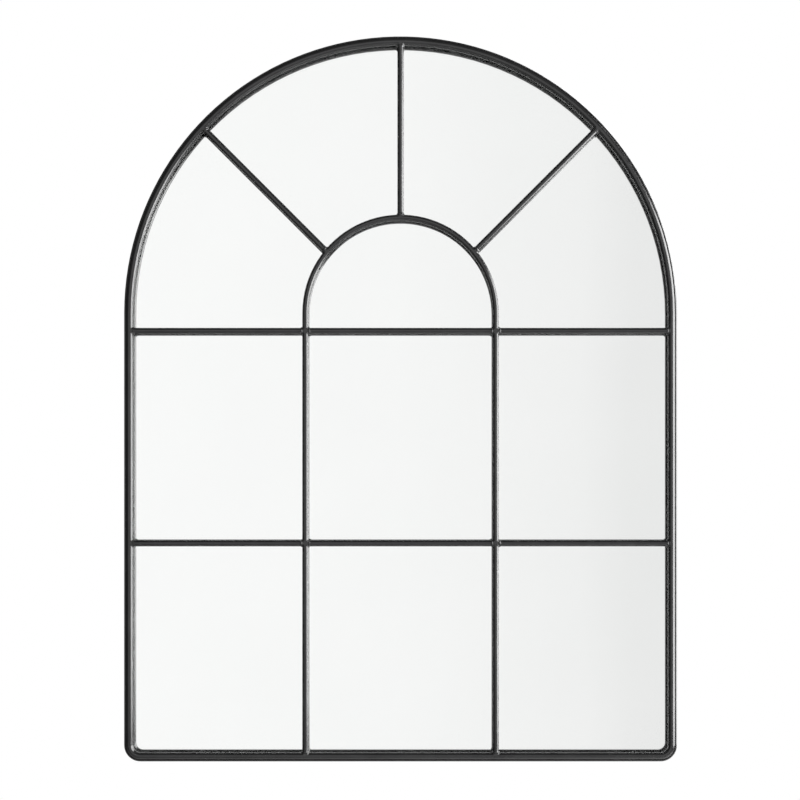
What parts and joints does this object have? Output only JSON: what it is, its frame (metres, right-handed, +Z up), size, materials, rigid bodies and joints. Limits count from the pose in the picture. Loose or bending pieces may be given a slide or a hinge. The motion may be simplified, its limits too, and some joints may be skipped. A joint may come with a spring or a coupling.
{
  "type": "arched window mirror",
  "caption": "Wall mirror with an arched black steel frame and a round-rod window grille in front of the glass.",
  "frame": {"origin": "middle of the base: half way across, half way through the depth from the front of the bead to the wall, and on the bottom edge of the strip", "axes": "+Z up, +X to the viewer's right, +Y from the viewer to the wall, so the glass faces -Y"},
  "size_m": [0.61, 0.025, 0.7999],
  "materials": {
    "black_steel": "satin black powder coat",
    "mirror": "polished float glass, silvered on the back",
    "foam": "matte closed-cell foam",
    "board": "raw fibreboard",
    "zinc": "bright zinc plate",
    "rubber": "matte"
  },
  "bodies": {
    "mirror": {"strip_arch": "black_steel", "strip_base": "black_steel", "front_bead": "black_steel", "inner_arch": "black_steel", "spoke_left": "black_steel", "spoke_centre": "black_steel", "spoke_right": "black_steel", "upper_bar_left": "black_steel", "upper_bar_centre": "black_steel", "upper_bar_right": "black_steel", "lower_bar_left": "black_steel", "lower_bar_centre": "black_steel", "lower_bar_right": "black_steel", "retaining_lugs": "black_steel", "mirror_glass": "mirror", "foam_sheet": "foam", "backing_board": "board", "lug_screws": "zinc", "hanger_screws": "zinc", "hanger_strap_left": "zinc", "hanger_strap_right": "zinc", "wall_bumpers": "rubber"},
    "ring_left": {"d_ring_left": "zinc"},
    "ring_right": {"d_ring_right": "zinc"}
  },
  "joints": [
    {"name": "ring_left_swing", "type": "hinge", "parent": "mirror", "child": "ring_left", "pos_m": [-0.25, 0.00945, 0.56], "axis": [1, 0, 0], "range_deg": [0, 165]},
    {"name": "ring_right_swing", "type": "hinge", "parent": "mirror", "child": "ring_right", "pos_m": [0.25, 0.00945, 0.56], "axis": [1, 0, 0], "range_deg": [0, 165]}
  ]
}
